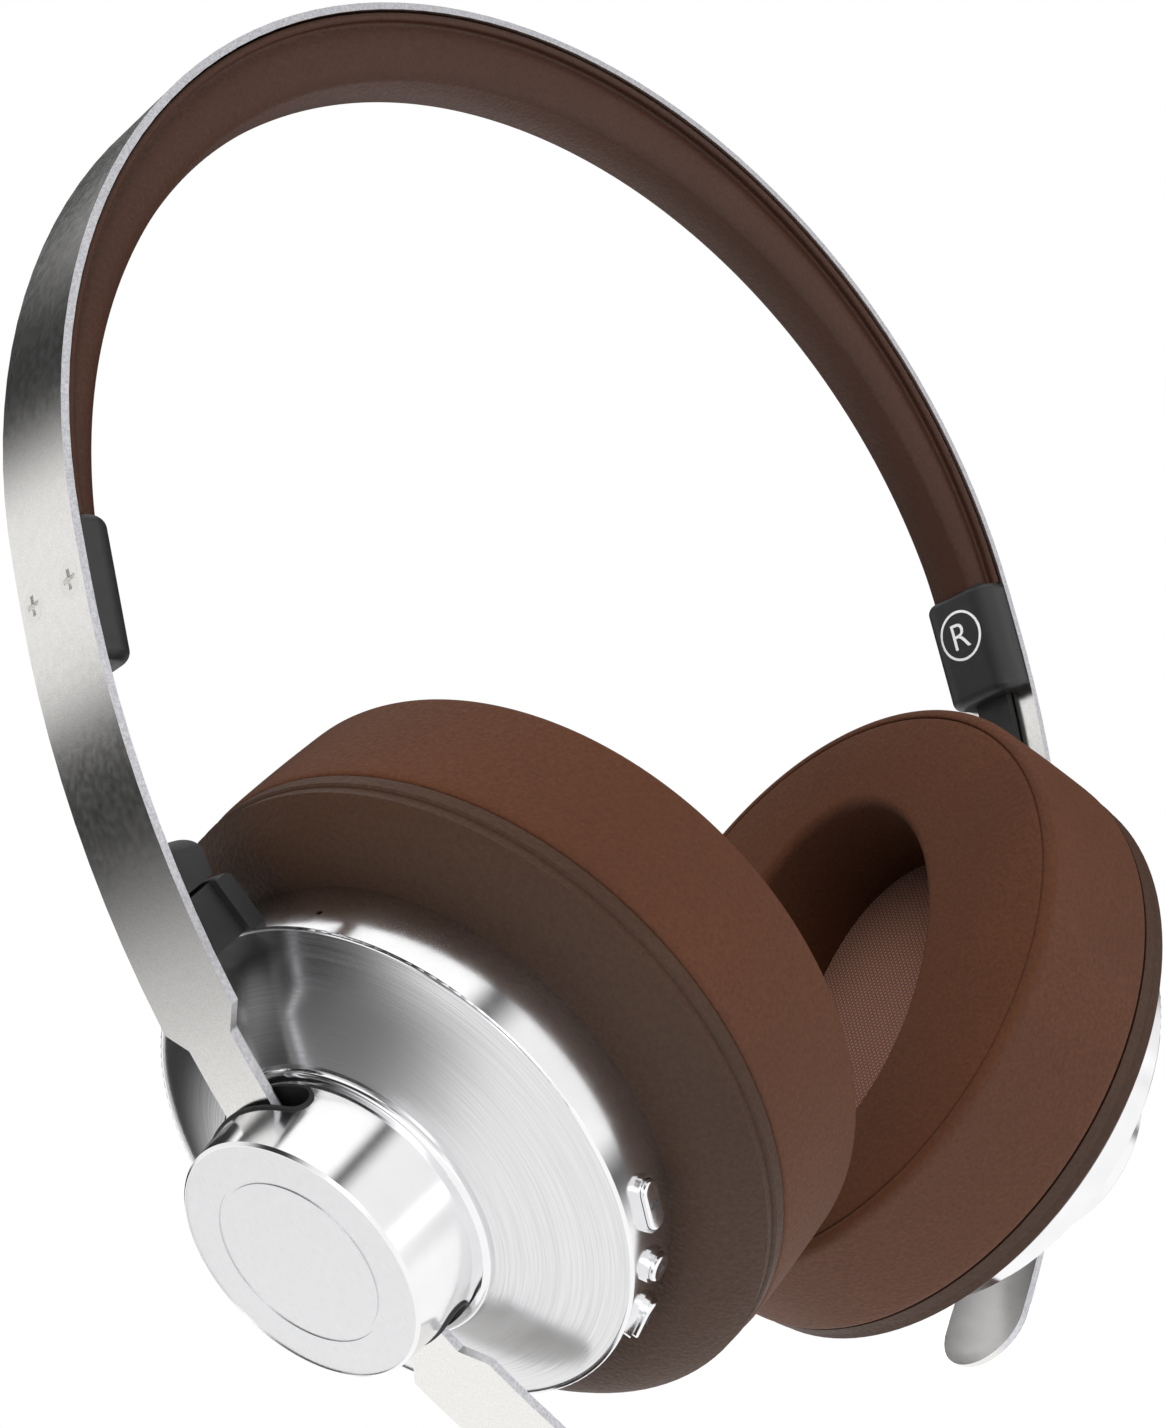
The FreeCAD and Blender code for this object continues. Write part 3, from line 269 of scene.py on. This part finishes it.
def woven_screen():
    """Plain weave over a dark backing, threads at 45 degrees to the strap."""
    g = Graph("woven_screen", (0.1, 0.04, 0.025), Metallic=0.0, Sheen_Weight=0.25,
              Sheen_Roughness=0.5, Specular_IOR_Level=0.3)
    y, h, _ = g.cup()
    pitch = 2 * pi / (0.95 * MM)
    along = g.math("MULTIPLY", g.math("ADD", g.math("MULTIPLY", y, 0.94),
                                      g.math("MULTIPLY", h, 0.34)), pitch)
    across = g.math("MULTIPLY", g.math("SUBTRACT", g.math("MULTIPLY", h, 0.94),
                                       g.math("MULTIPLY", y, 0.34)), pitch)
    warp = g.math("SINE", along)
    weft = g.math("SINE", across)
    over = g.math("MULTIPLY", warp, weft)
    threads = g.math("ADD", g.math("MULTIPLY", g.math("ABSOLUTE", warp), 0.5),
                     g.math("MULTIPLY", g.math("ABSOLUTE", weft), 0.5))
    height = g.math("ADD", threads, g.math("MULTIPLY", over, 0.45))
    color = g.mix(g.range(height, 0.1, 1.0, 0.0, 1.0), (0.022, 0.009, 0.007),
                  (0.21, 0.085, 0.048))
    g.to("Base Color", color)
    g.to("Roughness", g.range(height, 0.0, 1.0, 0.85, 0.6))
    g.to("Normal", g.bump(height, 0.0001, 0.9))
    return g.mat


WARM = (0.062, 0.0205, 0.0075)
DEEP = (0.04, 0.014, 0.0065)
CUP_WARM = (0.036, 0.0165, 0.0085)
CUP_DEEP = (0.024, 0.0115, 0.0065)
# Headband cushion: the ear cushions' leather made darker, as painted shade for its underside, which
# only the floor lights
PAD_WARM_PAINTED_SHADE = (0.036, 0.0135, 0.007)
PAD_DEEP_PAINTED_SHADE = (0.024, 0.0095, 0.0055)
BLACK = (0.012, 0.012, 0.0125)
CHROME = (0.86, 0.86, 0.87)

MATERIALS = {
    "band_steel": strap_steel(),
    # the headband cushion's leather takes the darkened colours, painted shade
    "pad_leather": leather("pad_leather", PAD_WARM_PAINTED_SHADE, PAD_DEEP_PAINTED_SHADE, 0.9, 0.5),
    "black_plastic": plastic("black_plastic", BLACK, 0.42, 0.00003),
    "screw_steel": metal("screw_steel", (0.88, 0.87, 0.85), 0.3),
    "black_lead": plastic("black_lead", (0.014, 0.014, 0.014), 0.5),
    "carriage_nylon": plastic("carriage_nylon", (0.03, 0.03, 0.031), 0.5),
    "link_steel": metal("link_steel", (0.5, 0.5, 0.5), 0.3),
    "polished_chrome": metal("polished_chrome", CHROME, 0.13, 0.02, 0.000002),
    "slot_rubber": plastic("slot_rubber", (0.008, 0.008, 0.008), 0.6),
    "face_satin": satin_face(),
    "spun_steel": turned_steel("spun_steel", (0.76, 0.76, 0.77), 0.2),
    "cup_leather": leather("cup_leather", CUP_WARM, CUP_DEEP, 1.0, 0.6),
    "cushion_leather": leather("cushion_leather", WARM, DEEP, 1.1, 0.7),
    "woven_screen": woven_screen(),
    "bush_brass": metal("bush_brass", (0.68, 0.48, 0.22), 0.3),
    "basket_plastic": plastic("basket_plastic", (0.02, 0.02, 0.021), 0.5),
    "magnet_plating": metal("magnet_plating", (0.62, 0.6, 0.56), 0.25),
    "diaphragm_film": plastic("diaphragm_film", (0.12, 0.1, 0.07), 0.35),
    "button_chrome": metal("button_chrome", CHROME, 0.09, 0.03, 0.000003),
    "board": plastic("board", (0.012, 0.07, 0.03), 0.4),
    "battery_wrap": plastic("battery_wrap", (0.02, 0.05, 0.12), 0.35),
    "socket_black": plastic("socket_black", (0.01, 0.01, 0.01), 0.4),
    "socket_steel": metal("socket_steel", (0.6, 0.6, 0.6), 0.25),
}
PRINT = plastic("side_mark_print", (0.62, 0.62, 0.63), 0.5)
ICON = plastic("icon_fill", (0.03, 0.03, 0.032), 0.4)

for node in NODES.values():
    for place in node.material_slots:
        base = place.material.name.split(".")[0] if place.material else ""
        if base in MATERIALS and place.material is not MATERIALS[base]:
            place.material = MATERIALS[base]


# --- Mesh helpers ---------------------------------------------------------------------------------
def mesh_object(name, points, faces, material, smooth=True):
    mesh = bpy.data.meshes.new(name)
    mesh.from_pydata([tuple(p) for p in points], [], faces)
    mesh.materials.append(material)
    mesh.update()
    made = bpy.data.objects.new(name, mesh)
    bpy.context.scene.collection.objects.link(made)
    work = bmesh.new()
    work.from_mesh(mesh)
    bmesh.ops.recalc_face_normals(work, faces=work.faces)
    work.to_mesh(mesh)
    work.free()
    for poly in mesh.polygons:
        poly.use_smooth = smooth
    return made


def grid_faces(rows, columns, close_rows, close_columns):
    """Quads between rows of points laid out one row after another."""
    faces = []
    for i in range(rows if close_rows else rows - 1):
        for j in range(columns if close_columns else columns - 1):
            a, b = i * columns, ((i + 1) % rows) * columns
            k = (j + 1) % columns
            faces.append((a + j, a + k, b + k, b + j))
    return faces


# --- Ear cushions ---------------------------------------------------------------------------------
CUSHION_R = 45.2
REAR_S = -16.5
FRONT_S = -36.1
EAR_Y = 21.8
EAR_H = 29.7
LIP_R = 1.8
RIM_ROUND = 1.5
SEAM_IN = 1.9
TURNS = 192


def cushion_rows():
    lip_s = FRONT_S + LIP_R
    rows = [(0.0, 0.3, REAR_S - 0.05, True), (0.0, 0.0, REAR_S - 0.8, True)]
    for i in range(1, 12):
        t = i / 12
        rows.append((0.0, -0.35 * sin(pi * t), REAR_S - 0.8 + (lip_s - REAR_S + 0.8) * t, False))
    for i in range(9):
        a = i / 8 * pi / 2
        rows.append((0.0, LIP_R * (1 - cos(a)), lip_s - LIP_R * sin(a), False))
    for i in range(1, 12):
        t = i / 12
        rows.append((t, LIP_R * (1 - t) - (SEAM_IN + 0.5) * t, FRONT_S - 0.25 * sin(pi * t), False))
    rows.append((1.0, -SEAM_IN - 0.3, FRONT_S, False))
    rows.append((1.0, -SEAM_IN - 0.08, FRONT_S + 0.15, False))
    rows.append((1.0, -SEAM_IN, FRONT_S + 0.6, True))
    rows.append((1.0, -SEAM_IN + 0.08, FRONT_S + 0.15, False))
    rows.append((1.0, -SEAM_IN + 0.25, FRONT_S, False))
    for i in range(1, 9):
        a = i / 8 * pi / 2
        rows.append((1.0, -RIM_ROUND + RIM_ROUND * sin(a), FRONT_S + RIM_ROUND * (1 - cos(a)),
                     False))
    for i in range(1, 12):
        t = i / 12
        rows.append((1.0, 0.12 * sin(pi * t),
                     FRONT_S + RIM_ROUND + (REAR_S - 0.7 - FRONT_S - RIM_ROUND) * t, False))
    rows.append((1.0, -0.05, REAR_S - 0.7, False))
    rows.append((1.0, -0.35, REAR_S - 0.25, True))
    rows.append((1.0, -0.9, REAR_S - 0.05, True))
    rows.append((0.5, 0.0, REAR_S - 0.05, True))
    return rows


def ear_hole(a):
    """Radius of the ear opening at an angle from straight up."""
    return 1 / sqrt((sin(a) / EAR_Y) ** 2 + (cos(a) / EAR_H) ** 2)


def puff(obj, pinned, frames=20, pressure=4.0, cap=0.8 * MM):
    """Swells a piece with cloth under pressure, its seams held; then caps how far a point moved."""
    start = [v.co.copy() for v in obj.data.vertices]
    group = obj.vertex_groups.new(name="pin")
    group.add(pinned, 1.0, "REPLACE")
    cloth = obj.modifiers.new("cloth", "CLOTH")
    cloth.settings.quality = 6
    cloth.settings.mass = 0.15
    cloth.settings.tension_stiffness = 30
    cloth.settings.compression_stiffness = 30
    cloth.settings.shear_stiffness = 10
    cloth.settings.bending_stiffness = 3
    cloth.settings.use_pressure = True
    cloth.settings.uniform_pressure_force = pressure
    cloth.settings.vertex_group_mass = "pin"
    cloth.settings.effector_weights.gravity = 0
    cloth.collision_settings.use_collision = False
    scene = bpy.context.scene
    for number in range(1, frames + 1):
        scene.frame_set(number)
    graph = bpy.context.evaluated_depsgraph_get()
    moved = [v.co.copy() for v in obj.evaluated_get(graph).data.vertices]
    obj.modifiers.remove(cloth)
    obj.vertex_groups.clear()
    scene.frame_set(1)
    for vertex, a, b in zip(obj.data.vertices, start, moved):
        step = b - a
        if step.length > cap:
            step = step * (cap / step.length)
        vertex.co = a + step


def ear_cushion(side):
    rows = cushion_rows()
    points = []
    for share, offset, s, held in rows:
        for j in range(TURNS):
            a = 2 * pi * j / TURNS
            hole = ear_hole(a)
            r = hole + (CUSHION_R - hole) * share + offset
            points.append(cup_point(side, s, r * sin(a), r * cos(a)))
    faces = grid_faces(len(rows), TURNS, True, True)
    made = mesh_object("cushion_" + side, points, faces, MATERIALS["cushion_leather"])
    pinned = [i * TURNS + j for i, row in enumerate(rows) if row[3] for j in range(TURNS)]
    puff(made, pinned)
    smooth = made.modifiers.new("smooth", "SUBSURF")
    smooth.levels = smooth.render_levels = 1
    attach(made, "cup_" + side)
    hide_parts("ear_cushion_" + side)


# --- Headband cushion -----------------------------------------------------------------------------
ARCH_R = 88.2
STRAP_T = 1.1
PAD_W = 13.4
PAD_CROWN_T = 9.8
PAD_END_T = 4.9
PAD_STEPS = 220
LEAD_ROOM_HALF_W = 4.6   # pocket behind each end of the cushion, for the lead that slides into it
LEAD_ROOM_DEPTH = 2.8
LEAD_ROOM_END = 13.0     # its top over the arch's centre
PAD_GAP = 0.05           # between the cushion and the strap


def arch_centre():
    return -(ARCH_R - STRAP_T - PAD_CROWN_T)


def pad_section(thick):
    """Half section of the headband cushion, from its edge at the strap to its middle."""
    half = PAD_W / 2
    lip = 1.25
    body = half - 1.5
    rise = thick - lip
    rows = [(half - 0.1, PAD_GAP), (half, 0.35), (half, lip - 0.35), (half - 0.25, lip - 0.02),
            (half - 0.7, lip), (half - 1.15, lip - 0.18), (half - 1.45, lip - 0.1),
            (half - 1.62, lip + 0.2)]
    for i in range(1, 13):
        a = i / 12 * pi / 2
        rows.append((body * (1 - 0.42 * (1 - cos(a))) - 0.25 * sin(a),
                     lip + 0.2 + (rise - 0.55) * sin(a) ** 0.9))
    last = rows[-1][0]
    for i in range(1, 6):
        t = i / 5
        rows.append((last * (1 - t), thick - 0.35 + 0.35 * sin(pi / 2 * t)))
    return rows


def headband_cushion():
    inner = ARCH_R - STRAP_T
    centre = arch_centre()
    near = inner - PAD_CROWN_T
    side = inner - PAD_END_T
    total = side * side / near
    radius = (near + total) / 2
    drop = (total - near) / 2
    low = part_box("headband_pad")[0].z / MM
    start = atan2(low - centre, inner) - 0.012
    points = []
    width = 0
    for i in range(PAD_STEPS):
        a = start + (pi - 2 * start) * i / (PAD_STEPS - 1)
        # distance from the arch's centre to the pad's inner circle, along this direction
        b = drop * sin(a)
        reach = -b + sqrt(b * b - drop * drop + radius * radius)
        thick = inner - reach
        half = pad_section(thick)
        pocket = LEAD_ROOM_DEPTH if inner * sin(a) < LEAD_ROOM_END else PAD_GAP
        wide = LEAD_ROOM_HALF_W
        whole = half + [(-y, d) for y, d in reversed(half[:-1])]
        whole += [(-wide - 0.05, PAD_GAP), (-wide + 0.05, pocket), (wide - 0.05, pocket),
                  (wide + 0.05, PAD_GAP)]
        width = len(whole)
        for y, depth in whole:
            r = inner - depth
            points.append(Vector((r * cos(a), y, centre + r * sin(a))) * MM)
    faces = grid_faces(PAD_STEPS, width, False, True)
    faces.append(tuple(range(width)))
    faces.append(tuple(range((PAD_STEPS - 1) * width, PAD_STEPS * width)))
    made = mesh_object("headband_cushion", points, faces, MATERIALS["pad_leather"])
    smooth = made.modifiers.new("smooth", "SUBSURF")
    smooth.levels = smooth.render_levels = 1
    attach(made, "headband")
    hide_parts("headband_pad")


for side in SIDES:
    ear_cushion(side)
headband_cushion()


# --- Printed marks --------------------------------------------------------------------------------
CAP_FACE_X = 81.8        # inner face of the end caps
CAP_MARK_Z = -82.9       # height of the middle of a side mark
CAP_HALF_W = 7.0
CAP_EDGE_R = 3.6
MARK_R = 4.2             # outer radius of the ring, and the width of its line
MARK_LINE = 0.42
LETTER_H = 4.6
INK = 0.03
BUTTON_TOP = 35.6        # from the cup's axis
BUTTON_S = -4.2
BUTTONS = {"volume_up": 118.0, "play": 133.5, "volume_down": 149.0}


def slab(name, outline, inner, to_world, material):
    """A thin flat piece, INK above and below the face: an outline of (u, v), with or without an
    inner outline that leaves it open in the middle."""
    count = len(outline)
    rings = [outline] if inner is None else [outline, inner]
    points = [to_world(u, v, w) for w in (-INK, INK) for line in rings for u, v in line]
    layer = count * len(rings)
    faces = []
    for k in range(count):
        n = (k + 1) % count
        for r in range(len(rings)):
            base = r * count
            faces.append((base + k, base + n, layer + base + n, layer + base + k))
        if inner is not None:
            for low in (0, layer):
                faces.append((low + k, low + n, low + count + n, low + count + k))
    if inner is None:
        faces.append(tuple(range(count)))
        faces.append(tuple(range(layer, layer + count)))
    return mesh_object(name, points, faces, material, smooth=False)


def circle(radius, count=96):
    return [(radius * cos(2 * pi * k / count), radius * sin(2 * pi * k / count))
            for k in range(count)]


def on_cap(side):
    """From a mark's own (right, up, out) to a cap's inner face, following its rounded edges."""
    sign = SIDES[side]

    def place(u, v, w):
        bend = max(0.0, abs(u) - (CAP_HALF_W - CAP_EDGE_R))
        fall = CAP_EDGE_R - sqrt(CAP_EDGE_R ** 2 - bend ** 2)
        return Vector((sign * (CAP_FACE_X + fall - w), -sign * u, CAP_MARK_Z + v)) * MM
    return place


def side_mark(side):
    place = on_cap(side)
    ring = slab("mark_ring_" + side, circle(MARK_R), circle(MARK_R - MARK_LINE), place, PRINT)
    curve = bpy.data.curves.new("letter", "FONT")
    curve.body = side[0].upper()
    curve.size = LETTER_H * 1.4
    curve.extrude = INK
    curve.offset = -0.04
    text = bpy.data.objects.new("letter", curve)
    bpy.context.scene.collection.objects.link(text)
    graph = bpy.context.evaluated_depsgraph_get()
    mesh = bpy.data.meshes.new_from_object(text.evaluated_get(graph))
    bpy.data.objects.remove(text)
    us = [v.co.x for v in mesh.vertices]
    vs = [v.co.y for v in mesh.vertices]
    middle = ((min(us) + max(us)) / 2, (min(vs) + max(vs)) / 2)
    for vertex in mesh.vertices:
        u, v, w = vertex.co
        vertex.co = place(u - middle[0], v - middle[1], w)
    mesh.materials.clear()
    mesh.materials.append(PRINT)
    letter = bpy.data.objects.new("mark_letter_" + side, mesh)
    bpy.context.scene.collection.objects.link(letter)
    for piece in (ring, letter):
        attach(piece, "headband")


def on_button(angle):
    """From an icon's own (round the cup, outwards along its axis, up) to a button's top."""
    a = radians(angle)

    def place(u, v, w):
        r = BUTTON_TOP + w
        y = -r * sin(a) + u * cos(a)
        h = r * cos(a) + u * sin(a)
        return cup_point("left", BUTTON_S + v, y, h)
    return place


def bar(half_u, half_v):
    return [(-half_u, -half_v), (half_u, -half_v), (half_u, half_v), (-half_u, half_v)]


def icons():
    long, thin = 0.9, 0.16
    plus = [(-thin, -long), (thin, -long), (thin, -thin), (long, -thin), (long, thin), (thin, thin),
            (thin, long), (-thin, long), (-thin, thin), (-long, thin), (-long, -thin),
            (-thin, -thin)]
    shapes = {"volume_up": plus, "play": [(-0.6, -0.7), (0.8, 0.0), (-0.6, 0.7)],
              "volume_down": bar(long, thin)}
    for name, outline in shapes.items():
        made = slab("icon_" + name, outline, None, on_button(BUTTONS[name]), ICON)
        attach(made, "button_" + name)


for side in SIDES:
    side_mark(side)
icons()

# --- Camera, light and floor ----------------------------------------------------------------------
EYE = Vector((-0.24291, -0.24134, -0.18747))
RIGHT = Vector((0.73694, -0.63938, -0.21933))
DOWN = Vector((0.01263, 0.33744, -0.94126))
LENS = 63.364
FLOOR_Z = -0.42
FLOOR_HALF = 60.0


def camera():
    data = bpy.data.cameras.new("camera")
    data.lens = LENS
    data.clip_start = 0.01
    made = bpy.data.objects.new("camera", data)
    bpy.context.scene.collection.objects.link(made)
    ahead = RIGHT.cross(DOWN).normalized()
    turn = Matrix((RIGHT, -DOWN, -ahead)).transposed()
    made.matrix_world = Matrix.Translation(EYE) @ turn.to_4x4()
    bpy.context.scene.camera = made


def softbox(name, at, aim, width, height, power):
    data = bpy.data.lights.new(name, "AREA")
    data.shape = "RECTANGLE"
    data.size, data.size_y = width, height
    data.energy = power
    made = bpy.data.objects.new(name, data)
    bpy.context.scene.collection.objects.link(made)
    made.location = at
    made.rotation_euler = (Vector(aim) - Vector(at)).to_track_quat("-Z", "Y").to_euler()
    made.visible_glossy = False


def floor():
    corners = [(x * FLOOR_HALF, y * FLOOR_HALF, FLOOR_Z)
               for x, y in ((-1, -1), (1, -1), (1, 1), (-1, 1))]
    g = Graph("floor_paint", (0.9, 0.9, 0.9), Metallic=0.0, Specular_IOR_Level=0.1,
              Emission_Color=(1.0, 1.0, 1.0), Emission_Strength=0.95)
    g.to("Roughness", g.range(g.noise(g.coords(), 60.0), 0.3, 0.7, 0.8, 0.95))
    made = mesh_object("floor", corners, [(0, 1, 2, 3)], g.mat, smooth=False)
    made.visible_glossy = False


def smoothstep(tree, value, start, end):
    """0 before start, 1 after end, eased between them."""
    made = tree.nodes.new("ShaderNodeMapRange")
    made.interpolation_type = "SMOOTHSTEP"
    made.inputs[1].default_value = start
    made.inputs[2].default_value = end
    tree.links.new(value, made.inputs[0])
    return made.outputs[0]


def combine(tree, operation, a, b):
    made = tree.nodes.new("ShaderNodeMath")
    made.operation = operation
    for socket, value in zip(made.inputs, (a, b)):
        if isinstance(value, float):
            socket.default_value = value
        else:
            tree.links.new(value, socket)
    return made.outputs[0]


def towards(tree, vector, azimuth):
    """How far a direction points to a compass angle, degrees from +X towards +Y."""
    made = tree.nodes.new("ShaderNodeVectorMath")
    made.operation = "DOT_PRODUCT"
    tree.links.new(vector, made.inputs[0])
    made.inputs[1].default_value = (cos(radians(azimuth)), sin(radians(azimuth)), 0)
    return made.outputs["Value"]


def studio():
    """What the steel mirrors: a white glow from below with two dim stretches, a ceiling, three side
    panels and dark gaps between. The camera sees plain white, and soft light gets less of it."""
    world = bpy.data.worlds.new("studio")
    bpy.context.scene.world = world
    world.use_nodes = True
    tree = world.node_tree
    back = tree.nodes["Background"]
    way = tree.nodes.new("ShaderNodeTexCoord").outputs["Generated"]
    parts = tree.nodes.new("ShaderNodeSeparateXYZ")
    tree.links.new(way, parts.inputs[0])
    z = parts.outputs[2]
    depth = combine(tree, "MULTIPLY", z, -1.0)

    def both(a, b, operation="MULTIPLY"):
        return combine(tree, operation, a, b)

    def without(value):
        return combine(tree, "SUBTRACT", 1.0, value)

    ground = both(smoothstep(tree, depth, -0.04, 0.2), 1.1)
    shade = both(both(smoothstep(tree, towards(tree, way, 155), 0.72, 0.97),
                      without(smoothstep(tree, depth, 0.45, 0.85))), 0.85)
    gap = both(both(smoothstep(tree, towards(tree, way, -25), 0.86, 0.97),
                    without(smoothstep(tree, depth, 0.25, 0.45))), 0.9)
    ground = both(both(ground, without(shade)), without(gap))
    ceiling = both(smoothstep(tree, z, 0.66, 0.78), 1.2)
    side = both(both(smoothstep(tree, z, 0.13, 0.25), without(smoothstep(tree, z, 0.4, 0.6))),
                smoothstep(tree, towards(tree, way, 125), 0.72, 0.88))
    viewer = both(both(smoothstep(tree, z, -0.25, -0.08), without(smoothstep(tree, z, 0.5, 0.7))),
                  smoothstep(tree, towards(tree, way, -80), 0.4, 0.7))
    left = both(both(smoothstep(tree, z, -0.45, -0.2), without(smoothstep(tree, z, 0.1, 0.3))),
                smoothstep(tree, towards(tree, way, -155), 0.75, 0.92))
    panels = both(both(side, viewer, "ADD"), left, "ADD")
    total = both(both(ground, ceiling, "ADD"), panels, "ADD")
    tree.links.new(both(total, 0.03, "ADD"), back.inputs[0])
    white = tree.nodes.new("ShaderNodeBackground")
    white.inputs[0].default_value = (1, 1, 1, 1)
    path = tree.nodes.new("ShaderNodeLightPath")
    dimmer = both(path.outputs["Is Diffuse Ray"], 0.4)
    tree.links.new(without(dimmer), back.inputs[1])
    mixed = tree.nodes.new("ShaderNodeMixShader")
    tree.links.new(path.outputs["Is Camera Ray"], mixed.inputs[0])
    tree.links.new(back.outputs[0], mixed.inputs[1])
    tree.links.new(white.outputs[0], mixed.inputs[2])
    tree.links.new(mixed.outputs[0], tree.nodes["World Output"].inputs[0])


camera()
studio()
floor()
softbox("key", (-0.5, -0.35, 0.75), (0, 0, -0.08), 0.9, 0.9, 15)
softbox("fill", (0.95, -0.6, 0.0), (0, 0, -0.1), 0.8, 0.8, 10)
bpy.context.scene.view_settings.view_transform = "Standard"
